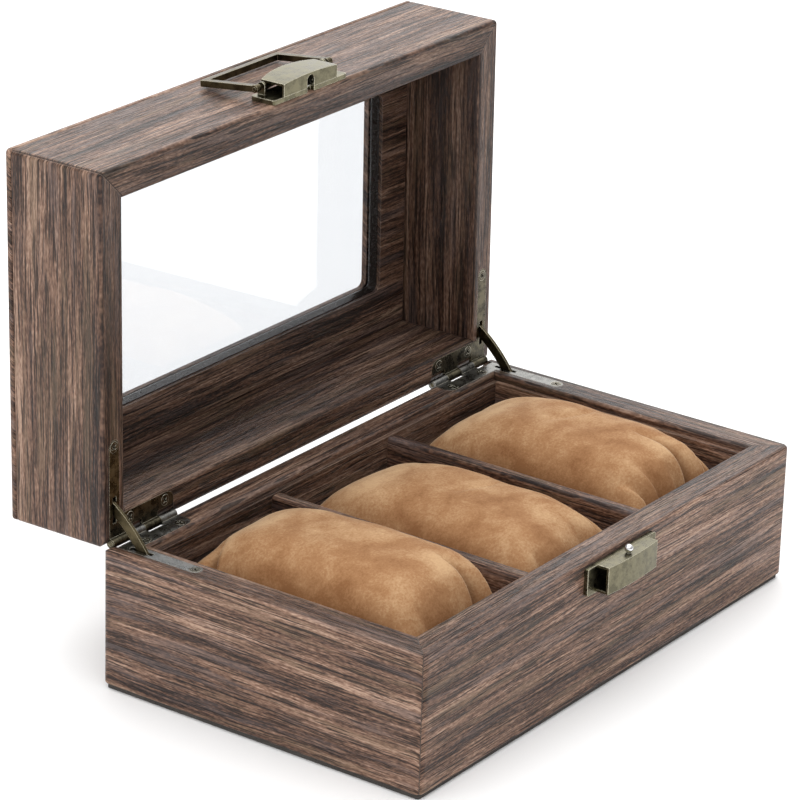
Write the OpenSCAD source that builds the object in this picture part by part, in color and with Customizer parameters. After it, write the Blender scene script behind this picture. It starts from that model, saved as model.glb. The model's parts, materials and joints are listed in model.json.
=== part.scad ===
// Watch box: a low wooden box with a windowed lid, two quadrant hinges with sliding stays,
// three watch cushions between dividers, and a ball catch with a folding bail.
// Millimetres. Origin at the centre of the base's underside, +Z up, the front faces -Y.
// The lid is drawn open, which is its rest position.

/* [Box] */
// Overall width, left to right
box_w = 200; // [170:1:260]
// Overall depth, front to back
box_d = 117.5; // [110:0.5:150]
// Height of the base, from its underside to its rim
base_h = 46; // [42:1:70]
// Height of the lid, from its rim to its top
lid_h = 36; // [34:1:60]
// Thickness of the wall boards
wall_t = 10; // [10:0.1:13]
// Gap between the two rims when the box is shut
rim_gap = 0.4; // [0.2:0.1:0.8]
// How far the lid swings from shut to its open rest position, in degrees
open_angle = 90.7; // [85:0.1:95]
// Rounding of the rims' edges
edge_r = 1.2; // [0.6:0.1:1.4]
// Rounding of the upright corners
base_corner_r = 2.5; // [1.6:0.1:3]
// Radius of the lid's upright corners
lid_corner_r = 1.5; // [1.4:0.1:3]
// Rounding of the boards' outer edges on the side away from the rim
foot_r = 0.7; // [0.3:0.1:1.2]
// Rounding of the two rims' outer edges on the hinge side
back_edge_r = 3.3; // [2.4:0.1:3.6]

/* [Base] */
// Thickness of the sheet glued under the base
bottom_sheet_t = 1.5; // [1:0.1:3]
// How far the bottom sheet stays inside the base's outline
bottom_sheet_inset = 1; // [0.5:0.1:3]
// Thickness of the floor board between the walls
floor_t = 3; // [2:0.1:6]
// Thickness of the lining boards
liner_t = 1.6; // [1:0.1:3]
// How far the lining boards end below the rim
liner_drop = 2.5; // [1:0.1:8]
// Thickness of the two dividers
divider_t = 4.5; // [3:0.1:8]
// How far the dividers end below the rim
divider_drop = 2.9; // [1:0.1:10]

/* [Cushions] */
// Gap between a cushion and each side of its compartment
cushion_side_gap = 1.2; // [0.5:0.1:4]
// Gap between a cushion and the front lining
cushion_front_gap = 1.5; // [0.5:0.1:6]
// Gap between a cushion and the back lining, where a strap passes
cushion_back_gap = 6.8; // [5:0.1:12]
// How far a cushion's crown stands above the rim
cushion_rise = 5.6; // [0:0.1:12]
// Rounding of a cushion along its length and across its ends
cushion_r = 15; // [8:0.5:18]
// How far a cushion's top curves up from its sides to its middle
cushion_crown = 4.5; // [1:0.1:8]

/* [Lid] */
// Thickness of the sheet on top of the lid
top_sheet_t = 1.9; // [1.6:0.1:3]
// Rounding of the top sheet's outer edges
sheet_edge_r = 0.7; // [0.3:0.1:0.7]
// Thickness of the frame board that holds the glass
frame_t = 6.1; // [5.8:0.1:10]
// Rounding of the frame board's edges against the walls
frame_edge_r = 1; // [0.4:0.1:2]
// Width of the window in the frame board
window_w = 152; // [100:1:156]
// Depth of the window in the frame board
window_d = 68; // [50:1:76]
// Corner radius of the window
window_r = 3; // [2:0.1:6]
// How far the top sheet reaches in past the frame board's window
sheet_lap = 0.4; // [0:0.1:1]
// Thickness of the glass
glass_t = 1.5; // [1.2:0.1:2.2]
// How far the glass reaches past the window on each side
glass_lap = 3; // [2:0.1:5]
// How far the crest of the bead under the glass stands out from the window's edge
bead_w = 1; // [0.9:0.1:1.5]
// Height of the bead
bead_h = 3.3; // [2.6:0.1:3.4]

/* [Hinges] */
// Length of a hinge's barrel and back arm
hinge_len = 30; // [28:0.1:40]
// How far the hinge's outer edge stays inside the box's side face
leaf_inset = 2.85; // [2.6:0.05:3.2]
// Width of a hinge leaf's back arm, beside the barrel
back_arm_w = 6.2; // [6:0.1:6.8]
// Width of a hinge leaf's side arm
side_arm_w = 4.6; // [4.4:0.1:5.2]
// How far a leaf is cut back beside the other leaf's knuckles
knuckle_notch = 1.4; // [0.4:0.1:1.6]
// Length of the leaf's side arm, measured from the barrel's axis
side_arm_len = 32.6; // [30:0.1:44]
// Thickness of a hinge leaf
leaf_t = 0.9; // [0.7:0.1:1.2]
// How far the barrel's axis lies inside the box's back face
barrel_inset = 0.85; // [0.6:0.05:1.2]
// Outer radius of the barrel
barrel_r = 1.5; // [1.3:0.1:1.8]
// Radius of the hinge pin
hinge_pin_r = 0.7; // [0.5:0.05:0.8]
// Radius of a screw's head
screw_head_r = 1.8; // [1.6:0.1:1.9]
// Radius of a screw's shank
screw_shank_r = 1; // [0.8:0.1:1.2]
// Length of a screw
screw_len = 9; // [6:0.5:12]

/* [Stays] */
// Thickness of a stay's strip
stay_t = 1; // [0.8:0.1:1.3]
// Width of a stay's strip
stay_w = 3.2; // [2.6:0.1:3.6]
// Radius of the strip's outer edge
stay_r = 50; // [40:1:80]
// Distance from the hinge axis to the strip's outer edge, at its middle
stay_reach = 9.5; // [9:0.1:10.5]
// Half the length of a stay, straight across its bow
stay_half = 15.5; // [14:0.1:16]

/* [Catch] */
// Width of the catch's back plates
plate_w = 36.8; // [34:0.1:44]
// Thickness of the catch's back plates
plate_t = 1.5; // [1:0.1:1.8]
// Height of both halves of the catch
catch_h = 8.8; // [8.6:0.1:9.4]
// Width of the catch's covers
cover_w = 26.6; // [20:0.1:27]
// How far the covers stand out from the wall, at their ends
cover_out = 5.5; // [5.3:0.1:7]
// How much further a cover stands out at its middle
cover_crown = 0.7; // [0.3:0.1:1.2]
// Thickness of a cover's sheet
cover_t = 0.8; // [0.5:0.1:0.8]
// Distance from the base's rim to the lower half of the catch
lower_drop = 1.7; // [1.5:0.1:2.2]
// Distance from the lid's rim to the upper half of the catch
upper_drop = 0.2; // [0.1:0.1:0.6]
// How far the upper cover's far edge bows out at its middle
upper_bow = 2; // [0.5:0.1:2.4]
// Radius of the catch's ball
ball_r = 1.35; // [1.1:0.05:1.4]
// Distance from the wall to the ball's centre
ball_out = 3.7; // [3.6:0.1:3.8]
// Width of the bail, outside
bail_w = 37.9; // [37.9:0.1:46]
// Thickness of the bail's bars
bail_t = 2; // [1.4:0.1:2.1]
// Distance from the bail's pivot to the middle of its end bar
bail_reach = 19.8; // [19.6:0.1:24]
// Distance from the wall to the bail's pivot
bail_out = 4; // [3.9:0.1:4]
// Distance from the lid's rim to the bail's pivot
bail_up = 7.3; // [7.1:0.1:7.5]
// Gap between the folded bail's end bar and the wall
bail_rest_gap = 0.8; // [0.4:0.1:1.2]

/* [Hidden] */
$fn = 64;

// Clearances
still_gap = 0.1;      // between a piece and the seat it is dropped into
soft_gap = 0.3;       // around the cushions
pin_fit = 0.02;       // radial, around a pin that is held fast
running_fit = 0.05;   // radial, around a pin that turns
slide_gap = 0.3;      // around what moves in a slot or pocket
eps = 1;              // how far a cutter reaches past a face

// Planes and axes
base_wall_h = base_h - bottom_sheet_t;
floor_top = bottom_sheet_t + floor_t;
lid_rim_z = base_h + rim_gap;
lid_wall_h = lid_h - top_sheet_t;
frame_z = lid_rim_z + lid_wall_h - frame_t;
hinge_y = box_d / 2 - barrel_inset;
hinge_z = base_h + rim_gap / 2;
front_y = -box_d / 2;

// Room inside the walls and inside the lining
inner_w = box_w - 2 * wall_t;
inner_d = box_d - 2 * wall_t;
lined_w = inner_w - 2 * liner_t;
lined_d = inner_d - 2 * liner_t;
compartment_w = (lined_w - 2 * divider_t) / 3;
compartment_pitch = compartment_w + divider_t;
liner_h = base_h - liner_drop - floor_top;
divider_h = base_h - divider_drop - floor_top;

// Cushions
cushion_w = compartment_w - 2 * cushion_side_gap;
cushion_len = lined_d - cushion_front_gap - cushion_back_gap;
cushion_y = (cushion_front_gap - cushion_back_gap) / 2;
cushion_z = floor_top + soft_gap;
cushion_h = base_h + cushion_rise - cushion_z;

// Window
glass_seat = glass_t + still_gap;
bead_crest_r = 0.8;
bead_foot = 0.3;
bead_rise = bead_h - bead_crest_r;
bead_lean = atan2(bead_rise, bead_w - bead_crest_r - bead_foot);
bead_slope = bead_lean - asin(bead_crest_r / norm([bead_rise, bead_w - bead_crest_r - bead_foot]));
bead_run = sqrt(pow(bead_rise, 2) + pow(bead_w - bead_crest_r - bead_foot, 2) - pow(bead_crest_r, 2));

// Hinges
leaf_x1 = box_w / 2 - leaf_inset;
leaf_x0 = leaf_x1 - hinge_len;
arm_mid_x = leaf_x1 - side_arm_w / 2;
barrel_clear_r = barrel_r + slide_gap;
arm_back_y = hinge_y - barrel_clear_r;
arm_mid_y = arm_back_y - back_arm_w / 2;
arm_front_y = hinge_y - side_arm_len;
knuckle_len = hinge_len / 4;
knuckle_gap = 0.1;
housing_fall = 2.2;
screw_inset = 4;
screw_second = 20.5;
screw_row_y = arm_mid_y - knuckle_notch / 2;
screw_head_h = screw_head_r - screw_shank_r;
screw_tip_h = 2.5;
drive_w = 0.5;
drive_depth = 0.7;
leaf_screws = [
    [leaf_x0 + screw_inset, screw_row_y],
    [leaf_x0 + screw_second, screw_row_y],
    [arm_mid_x, arm_front_y + side_arm_w / 2],
];

// Stays
stay_bow_centre = stay_r - stay_reach;
stay_knob_r = 1.1;
stay_knob_len = 2.6;
stay_knob_in = 2.3;
stay_sweep_r = norm([stay_bow(stay_r, stay_half), stay_half]);
pocket_w = stay_knob_len + 2 * slide_gap;
slot_w = stay_t + 2 * slide_gap;
slot_lead = 1.2;
slot_depth_z = hinge_z - (base_h - leaf_t);
slot_front_y = hinge_y + stay_bow_centre * cos(open_angle / 2)
    - sqrt(stay_r * stay_r - pow(stay_bow_centre * sin(open_angle / 2) - slot_depth_z, 2)) - slot_lead;
slot_back_y = hinge_y - (stay_reach - stay_w) + slide_gap;

// Catch
cover_bow_r = (cover_w * cover_w / 4 + cover_crown * cover_crown) / (2 * cover_crown);
upper_bow_r = (cover_w * cover_w / 4 + upper_bow * upper_bow) / (2 * upper_bow);
prong_r = 0.7;
prong_len = 5;
prong_x = (plate_w + cover_w) / 4;
plate_corner_r = 0.8;
ball_slot_play = 0.4;
ball_slot_r = ball_r + ball_slot_play;
ball_stem_r = 0.7;
ball_head_r = 1.2;
ball_head_h = 0.5;
clip_t = 0.35;
clip_gap = 0.15;
clip_inset = 0.2;
clip_start = cover_t + clip_inset;
clip_len = 4.4;
clip_top = 4.2;
bail_pin_r = 0.6;
bail_eye_r = 1.2;
ear_t = 0.8;
ear_r = 1.4;
ear_x = (cover_w + bail_w - 2 * bail_t) / 4;
bail_tilt = asin((bail_out - bail_rest_gap - bail_t / 2) / bail_reach);

// Distance from the hinge axis to an arc of the stay's bow, measured along the stay's middle line
function stay_bow(r, across) = sqrt(r * r - across * across) - stay_bow_centre;

// ---- Placing ----

// Swings what is drawn with the lid shut into the lid's open rest position
module in_lid()
    translate([0, hinge_y, hinge_z])
        rotate([-open_angle, 0, 0])
            translate([0, -hinge_y, -hinge_z])
                children();

// Turns what is drawn at the base's rim over, to the shut lid's rim
module over_to_lid()
    translate([0, 0, 2 * hinge_z])
        mirror([0, 0, 1])
            children();

// Draws a piece of the right-hand side on the left when side is -1
module on_side(side)
    mirror([side < 0 ? 1 : 0, 0, 0])
        children();

module on_both_sides()
    for (side = [-1, 1])
        on_side(side)
            children();

// Stands a flat outline up: its x runs along Y, its y along Z, and it grows along X
module along_x(length)
    rotate([90, 0, 90])
        linear_extrude(length, center = true)
            children();

// Sets a flat outline against the front face: its y runs along Z, and it grows outwards
module out_of_front(depth)
    translate([0, front_y, 0])
        rotate([90, 0, 0])
            linear_extrude(depth)
                children();

// ---- Outlines ----

module rounded_rectangle(w, d, r) {
    square([w - 2 * r, d], center = true);
    square([w, d - 2 * r], center = true);
    for (x = [-1, 1], y = [-1, 1])
        translate([x * (w / 2 - r), y * (d / 2 - r)])
            circle(r);
}

// What rounding takes off a corner at the origin that has its material at +x and -y
module corner_waste(r)
    difference() {
        translate([-eps, -r])
            square([r + eps, r + eps]);
        translate([r, -r])
            circle(r);
    }

// Section along a block's edge: x runs outwards to the face at depth, y up to h
module edge_section(depth, h, low_r, high_r)
    difference() {
        square([depth, h]);
        translate([depth, h])
            mirror([1, 0])
                corner_waste(high_r);
        translate([depth, 0])
            rotate(180)
                corner_waste(low_r);
    }

// ---- Blocks and wall boards ----

// The front edge of a block, without its corners
module block_side(length, across, h, corner_r, low_r, high_r)
    along_x(length - 2 * corner_r)
        translate([corner_r - across / 2, 0])
            mirror([1, 0])
                edge_section(corner_r, h, low_r, high_r);

// A block with rounded upright corners, and with its lower and upper edges rounded
module edged_block(w, d, h, corner_r, low_r, high_r) {
    linear_extrude(h)
        square([w - 2 * corner_r, d - 2 * corner_r], center = true);
    for (turn = [0, 180])
        rotate([0, 0, turn])
            block_side(w, d, h, corner_r, low_r, high_r);
    for (turn = [90, 270])
        rotate([0, 0, turn])
            block_side(d, w, h, corner_r, low_r, high_r);
    for (x = [0, 1], y = [0, 1])
        mirror([x, 0, 0])
            mirror([0, y, 0])
                translate([w / 2 - corner_r, d / 2 - corner_r, 0])
                    rotate_extrude(angle = 90)
                        edge_section(corner_r, h, low_r, high_r);
}

// Where the front board of a half goes that is length wide and across deep, mitred at both ends
module board_place(length, across, h)
    intersection() {
        along_x(length + 2 * eps)
            translate([-across / 2, 0])
                difference() {
                    translate([-eps, 0])
                        square([wall_t + eps, h]);
                    translate([wall_t, h])
                        mirror([1, 0])
                            corner_waste(edge_r);
                }
        linear_extrude(h)
            polygon([
                [-length / 2 - eps, -across / 2 - eps],
                [length / 2 + eps, -across / 2 - eps],
                [length / 2 - wall_t, -across / 2 + wall_t],
                [-length / 2 + wall_t, -across / 2 + wall_t],
            ]);
    }

// The outer form of one half's four walls, from z = 0 up to their rim at h
module wall_block(h, corner_r)
    difference() {
        edged_block(box_w, box_d, h, corner_r, foot_r, edge_r);
        along_x(box_w + 2 * eps)
            translate([box_d / 2, h])
                mirror([1, 0])
                    corner_waste(back_edge_r);
    }

module front_board(h, corner_r)
    intersection() {
        wall_block(h, corner_r);
        board_place(box_w, box_d, h);
    }

module back_board(h, corner_r)
    intersection() {
        wall_block(h, corner_r);
        rotate([0, 0, 180])
            board_place(box_w, box_d, h);
    }

// The right-hand board
module side_board(h, corner_r)
    intersection() {
        wall_block(h, corner_r);
        rotate([0, 0, 90])
            board_place(box_d, box_w, h);
    }

// Sets a board's rim at the base's rim
module at_rim(h)
    translate([0, 0, base_h - h])
        children();

// ---- Hinge housings, as cut into the base and, turned over, into the lid ----

module arm_outline() {
    translate([leaf_x0 + back_arm_w / 2, arm_mid_y])
        circle(back_arm_w / 2);
    translate([leaf_x0 + back_arm_w / 2, arm_back_y - back_arm_w])
        square([leaf_x1 - leaf_x0 - back_arm_w / 2, back_arm_w]);
    translate([arm_mid_x, arm_front_y + side_arm_w / 2])
        circle(side_arm_w / 2);
    translate([leaf_x1 - side_arm_w, arm_front_y + side_arm_w / 2])
        square([side_arm_w, arm_back_y - arm_front_y - side_arm_w / 2]);
}

module screw_hole(fit)
    rotate_extrude()
        polygon([
            [0, eps],
            [screw_head_r + eps + fit, eps],
            [screw_shank_r + fit, -screw_head_h - fit],
            [screw_shank_r + fit, -screw_len],
            [0, -screw_len],
        ]);

// The recess under a leaf and its barrel, which falls away to the box's back face
module hinge_housing() {
    translate([0, 0, base_h - leaf_t])
        linear_extrude(leaf_t + eps) {
            arm_outline();
            translate([leaf_x0, arm_mid_y])
                square([hinge_len, box_d / 2 - arm_mid_y + eps]);
        }
    translate([leaf_x0 + hinge_len / 2, hinge_y, hinge_z])
        rotate([0, 90, 0])
            cylinder(h = hinge_len + 2 * slide_gap, r = barrel_clear_r, center = true);
    translate([leaf_x0 + hinge_len / 2, 0, 0])
        along_x(hinge_len + 2 * slide_gap)
            polygon([
                [arm_back_y, base_h + eps],
                [arm_back_y, base_h - leaf_t],
                [box_d / 2 + eps, base_h - leaf_t - housing_fall],
                [box_d / 2 + eps, base_h + eps],
            ]);
    for (place = leaf_screws)
        translate([place.x, place.y, base_h])
            screw_hole(pin_fit);
    stay_pocket();
}

// Room in the wall for a stay's strip and knob over their whole swing
module stay_pocket()
    translate([arm_mid_x, hinge_y, hinge_z])
        intersection() {
            rotate([0, 90, 0])
                cylinder(h = pocket_w, r = stay_sweep_r + slide_gap, center = true);
            translate([
                -pocket_w / 2,
                -stay_sweep_r - slide_gap,
                -stay_half - slide_gap,
            ])
                cube([
                    pocket_w,
                    stay_sweep_r + 2 * slide_gap - stay_bow(stay_r - stay_w, stay_half),
                    stay_half + slide_gap,
                ]);
        }

// ---- Base ----

module base_front_wall() color("#6b5148") difference() {
    at_rim(base_wall_h) front_board(base_wall_h, base_corner_r);
    prong_holes(lower_drop);
}

module base_back_wall() color("#6b5148") difference() {
    at_rim(base_wall_h) back_board(base_wall_h, base_corner_r);
    on_both_sides() hinge_housing();
}

module base_side_wall(side) color("#6b5148") on_side(side) difference() {
    at_rim(base_wall_h) side_board(base_wall_h, base_corner_r);
    hinge_housing();
}

module base_left_wall() base_side_wall(-1);

module base_right_wall() base_side_wall(1);

module bottom_sheet() color("#3a2f2b")
    linear_extrude(bottom_sheet_t)
        rounded_rectangle(box_w - 2 * bottom_sheet_inset, box_d - 2 * bottom_sheet_inset, edge_r);

module floor_board() color("#3d2b22")
    translate([0, 0, bottom_sheet_t])
        linear_extrude(floor_t)
            square([inner_w, inner_d], center = true);

module long_liner(side) color("#4c382f")
    translate([-inner_w / 2, side * (inner_d - liner_t) / 2 - liner_t / 2, floor_top])
        cube([inner_w, liner_t, liner_h]);

module front_liner() long_liner(-1);

module back_liner() long_liner(1);

module short_liner(side) color("#4c382f")
    translate([side * (inner_w - liner_t) / 2 - liner_t / 2, -lined_d / 2, floor_top])
        cube([liner_t, lined_d, liner_h]);

module left_liner() short_liner(-1);

module right_liner() short_liner(1);

module divider(side) color("#5a443a")
    translate([side * compartment_pitch / 2, 0, floor_top])
        rotate([90, 0, 0])
            linear_extrude(lined_d, center = true)
                difference() {
                    translate([-divider_t / 2, 0])
                        square([divider_t, divider_h]);
                    for (flip = [0, 1])
                        mirror([flip, 0])
                            translate([-divider_t / 2, divider_h])
                                corner_waste(edge_r);
                }

module left_divider() divider(-1);

module right_divider() divider(1);

// ---- Cushions ----

// Outline of a cushion from one side: length w, height h from y = 0, crowned on top
module cushion_outline(w, h, crown) {
    bow_r = (w * w / 4 + crown * crown) / (2 * crown);
    intersection() {
        translate([0, h / 2])
            rounded_rectangle(w, h, cushion_r);
        translate([0, h - bow_r])
            circle(bow_r, $fn = 128);
    }
}

module cushion(slot) color("#b5824f")
    translate([slot * compartment_pitch, cushion_y, cushion_z])
        intersection() {
            rotate([90, 0, 0])
                linear_extrude(cushion_len + 2 * eps, center = true)
                    cushion_outline(cushion_w, cushion_h, cushion_crown);
            along_x(cushion_w + 2 * eps)
                cushion_outline(cushion_len, cushion_h, cushion_crown);
            linear_extrude(cushion_h)
                rounded_rectangle(cushion_w, cushion_len, cushion_r / 2);
        }

module left_cushion() cushion(-1);

module middle_cushion() cushion(0);

module right_cushion() cushion(1);

// ---- Lid ----

module lid_front_wall() color("#6b5148") in_lid() over_to_lid() difference() {
    at_rim(lid_wall_h) front_board(lid_wall_h, lid_corner_r);
    prong_holes(upper_drop);
}

module lid_back_wall() color("#6b5148") in_lid() over_to_lid() difference() {
    at_rim(lid_wall_h) back_board(lid_wall_h, lid_corner_r);
    on_both_sides() hinge_housing();
}

module lid_side_wall(side) color("#6b5148") in_lid() over_to_lid() on_side(side) difference() {
    at_rim(lid_wall_h) side_board(lid_wall_h, lid_corner_r);
    hinge_housing();
}

module lid_left_wall() lid_side_wall(-1);

module lid_right_wall() lid_side_wall(1);

module frame_section(w)
    difference() {
        translate([-w / 2, 0])
            square([w, frame_t]);
        for (flip = [0, 1])
            mirror([flip, 0])
                translate([-w / 2, 0])
                    mirror([0, 1])
                        corner_waste(frame_edge_r);
    }

// The board inside the walls that carries the glass in a rebate on its outer side
module lid_frame() color("#6b5148") in_lid()
    translate([0, 0, frame_z])
        difference() {
            intersection() {
                along_x(inner_w)
                    frame_section(inner_d);
                rotate([0, 0, 90])
                    along_x(inner_d)
                        frame_section(inner_w);
            }
            translate([0, 0, -eps])
                linear_extrude(frame_t + 2 * eps)
                    rounded_rectangle(window_w, window_d, window_r);
            translate([0, 0, frame_t - glass_seat])
                linear_extrude(glass_seat + eps)
                    rounded_rectangle(
                        window_w + 2 * (glass_lap + still_gap),
                        window_d + 2 * (glass_lap + still_gap),
                        window_r + glass_lap + still_gap
                    );
        }

module lid_top_sheet() color("#6b5148") in_lid()
    translate([0, 0, lid_rim_z + lid_wall_h])
        difference() {
            edged_block(box_w, box_d, top_sheet_t, lid_corner_r, sheet_edge_r, sheet_edge_r);
            translate([0, 0, -eps])
                linear_extrude(top_sheet_t + 2 * eps)
                    rounded_rectangle(
                        window_w - 2 * sheet_lap,
                        window_d - 2 * sheet_lap,
                        window_r - sheet_lap
                    );
        }

module lid_glass() color("#cfe3e6", 0.35) in_lid()
    translate([0, 0, frame_z + frame_t - glass_seat])
        linear_extrude(glass_t)
            rounded_rectangle(window_w + 2 * glass_lap, window_d + 2 * glass_lap, window_r + glass_lap);

// Section of the bead: it stands out from x = 0 towards +x, from a low foot to a round crest at the glass
module bead_section() {
    intersection() {
        translate([bead_w - bead_crest_r, bead_h / 2 - bead_crest_r])
            circle(bead_crest_r);
        translate([0, -bead_h / 2])
            square([bead_w + eps, bead_h]);
    }
    polygon([
        [0, -bead_h / 2],
        [bead_foot, -bead_h / 2],
        [bead_foot + bead_run * cos(bead_slope), bead_run * sin(bead_slope) - bead_h / 2],
        [bead_w - bead_crest_r, bead_h / 2 - bead_crest_r],
        [bead_w - bead_crest_r, bead_h / 2],
        [0, bead_h / 2],
    ]);
}

module bead_side(length, across)
    translate([0, -across / 2, 0])
        along_x(length)
            bead_section();

module glass_bead() color("#241a16") in_lid()
    translate([0, 0, frame_z + frame_t - glass_seat - bead_h / 2]) {
        for (turn = [0, 180])
            rotate([0, 0, turn])
                bead_side(window_w - 2 * window_r, window_d);
        for (turn = [90, 270])
            rotate([0, 0, turn])
                bead_side(window_d - 2 * window_r, window_w);
        for (x = [0, 1], y = [0, 1])
            mirror([x, 0, 0])
                mirror([0, y, 0])
                    translate([window_w / 2 - window_r, window_d / 2 - window_r, 0])
                        rotate_extrude(angle = 90)
                            translate([window_r, 0])
                                mirror([1, 0])
                                    bead_section();
    }

// ---- Hinges ----

// A leaf at the base's rim, with two of the barrel's four knuckles, the first or the second ones
module hinge_leaf(first, bore_fit) {
    difference() {
        union() {
            translate([0, 0, base_h - leaf_t])
                linear_extrude(leaf_t)
                    arm_outline();
            for (i = [first, first + 2])
                translate([leaf_x0 + i * knuckle_len + knuckle_gap, 0, 0])
                    knuckle(knuckle_len - 2 * knuckle_gap);
        }
        for (i = [1 - first, 3 - first])
            translate([leaf_x0 + i * knuckle_len, arm_back_y - knuckle_notch, base_h - leaf_t - eps])
                cube([knuckle_len, barrel_r + hinge_y - arm_back_y + knuckle_notch, leaf_t + 2 * eps]);
        translate([leaf_x0 - eps, hinge_y, hinge_z])
            rotate([0, 90, 0])
                cylinder(h = hinge_len + 2 * eps, r = hinge_pin_r + bore_fit);
        for (place = leaf_screws)
            translate([place.x, place.y, base_h])
                screw_hole(pin_fit);
        translate([arm_mid_x - slot_w / 2, slot_front_y, base_h - leaf_t - eps])
            cube([slot_w, slot_back_y - slot_front_y, leaf_t + 2 * eps]);
    }
}

module knuckle(length) {
    translate([0, hinge_y, hinge_z])
        rotate([0, 90, 0])
            cylinder(h = length, r = barrel_r);
    translate([0, arm_mid_y, base_h - leaf_t])
        cube([length, hinge_y - arm_mid_y, leaf_t]);
}

module hinge_base_leaf(side) color("#5b5238") on_side(side) hinge_leaf(0, pin_fit);

module hinge_lid_leaf(side) color("#5b5238") in_lid() over_to_lid() on_side(side)
    hinge_leaf(1, running_fit);

module hinge_pin(side) color("#6e6446") on_side(side)
    translate([leaf_x0 + knuckle_gap, hinge_y, hinge_z])
        rotate([0, 90, 0])
            cylinder(h = hinge_len - 2 * knuckle_gap, r = hinge_pin_r);

module left_hinge_base_leaf() hinge_base_leaf(-1);

module left_hinge_lid_leaf() hinge_lid_leaf(-1);

module left_hinge_pin() hinge_pin(-1);

module right_hinge_base_leaf() hinge_base_leaf(1);

module right_hinge_lid_leaf() hinge_lid_leaf(1);

module right_hinge_pin() hinge_pin(1);

// A countersunk cross-head screw, head flush with z = 0
module wood_screw()
    difference() {
        rotate_extrude()
            polygon([
                [0, 0],
                [screw_head_r, 0],
                [screw_shank_r, -screw_head_h],
                [screw_shank_r, screw_tip_h - screw_len],
                [0, -screw_len],
            ]);
        for (turn = [45, 135])
            rotate([0, 0, turn])
                translate([-screw_head_r * 0.6, -drive_w / 2, -drive_depth])
                    cube([screw_head_r * 1.2, drive_w, drive_depth + eps]);
    }

module hinge_screws()
    on_both_sides()
        for (place = leaf_screws)
            translate([place.x, place.y, base_h])
                wood_screw();

module base_hinge_screws() color("#7a7054") hinge_screws();

module lid_hinge_screws() color("#7a7054") in_lid() over_to_lid() hinge_screws();

// ---- Stays ----

// The bowed strip, lying along y with its bow towards -x, as it stands with the lid shut
module stay_outline()
    intersection() {
        translate([stay_bow_centre, 0])
            difference() {
                circle(stay_r, $fn = 256);
                circle(stay_r - stay_w, $fn = 256);
            }
        translate([-stay_reach - eps, -stay_half])
            square([stay_reach + eps, 2 * stay_half]);
    }

module stay(side) color("#5b5238") on_side(side)
    translate([arm_mid_x, hinge_y, hinge_z])
        rotate([-open_angle / 2, 0, 0]) {
            along_x(stay_t)
                stay_outline();
            for (end = [-1, 1])
                translate([
                    0,
                    -stay_bow(stay_r - stay_w / 2, stay_half - stay_knob_in),
                    end * (stay_half - stay_knob_in),
                ])
                    rotate([0, 90, 0])
                        cylinder(h = stay_knob_len, r = stay_knob_r, center = true);
        }

module left_stay() stay(-1);

module right_stay() stay(1);

// ---- Catch, drawn below the base's rim; drop is the distance down to its first edge ----

module catch_plate(drop) {
    out_of_front(plate_t)
        translate([0, base_h - drop - catch_h / 2])
            rounded_rectangle(plate_w, catch_h, plate_corner_r);
    for (side = [-1, 1])
        translate([side * prong_x, front_y, base_h - drop - catch_h / 2])
            rotate([-90, 0, 0])
                cylinder(h = prong_len, r = prong_r);
}

module prong_holes(drop)
    for (side = [-1, 1])
        translate([side * prong_x, front_y - eps, base_h - drop - catch_h / 2])
            rotate([-90, 0, 0])
                cylinder(h = prong_len + eps + still_gap, r = prong_r + pin_fit);

// Plan of a cover from the plate outwards; x runs along the box and y is minus the distance out
module cover_plan(w, out, bow_r)
    intersection() {
        translate([-w / 2, -out - cover_crown])
            square([w, out + cover_crown - plate_t]);
        translate([0, bow_r - out - cover_crown])
            circle(bow_r, $fn = 256);
    }

// A sheet cover, open at both ends; bow is how far its far edge bows out
module catch_cover(drop, bow) {
    top_z = base_h - drop;
    difference() {
        intersection() {
            translate([0, front_y, top_z - catch_h - bow])
                linear_extrude(catch_h + bow)
                    cover_plan(cover_w, cover_out, cover_bow_r);
            cover_face(top_z, bow, 0);
        }
        intersection() {
            translate([0, front_y, top_z - catch_h - bow])
                linear_extrude(catch_h + bow)
                    cover_plan(cover_w + 2 * eps, cover_out - cover_t, cover_bow_r - cover_t);
            cover_face(top_z, bow, cover_t);
        }
    }
}

// Front view of a cover, or of its inside when wall is the thickness of its sheet
module cover_face(top_z, bow, wall)
    out_of_front(cover_out + cover_crown + eps)
        translate([0, top_z])
            if (bow > 0)
                intersection() {
                    translate([-cover_w / 2 - eps, -catch_h - bow])
                        square([cover_w + 2 * eps, catch_h + bow - wall]);
                    translate([0, upper_bow_r - catch_h - bow])
                        circle(upper_bow_r - wall, $fn = 256);
                }
            else
                translate([-cover_w / 2 - eps, -catch_h + wall])
                    square([cover_w + 2 * eps, catch_h - 2 * wall]);

// The catch's lower half

module lower_catch_plate() color("#6f6748") catch_plate(lower_drop);

module lower_catch_cover() color("#837b58") difference() {
    catch_cover(lower_drop, 0);
    translate([0, front_y - ball_out, base_h - lower_drop])
        cylinder(h = 4 * cover_t, r = ball_stem_r + pin_fit, center = true);
}

module catch_ball() color("#c9ccd0")
    translate([0, front_y - ball_out, base_h - lower_drop]) {
        translate([0, 0, ball_r])
            sphere(ball_r);
        translate([0, 0, -cover_t])
            cylinder(h = cover_t + ball_r, r = ball_stem_r);
        translate([0, 0, -cover_t - ball_head_h])
            cylinder(h = ball_head_h, r = ball_head_r);
    }

// The catch's upper half

module ball_slot()
    translate([0, front_y, base_h - upper_drop - 2 * cover_t])
        linear_extrude(2 * cover_t + eps) {
            translate([-ball_slot_r, -ball_out])
                square([2 * ball_slot_r, ball_out]);
            translate([0, -ball_out])
                circle(ball_slot_r);
        }

module at_bail_pivot()
    translate([0, front_y - bail_out, base_h - bail_up])
        children();

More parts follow.
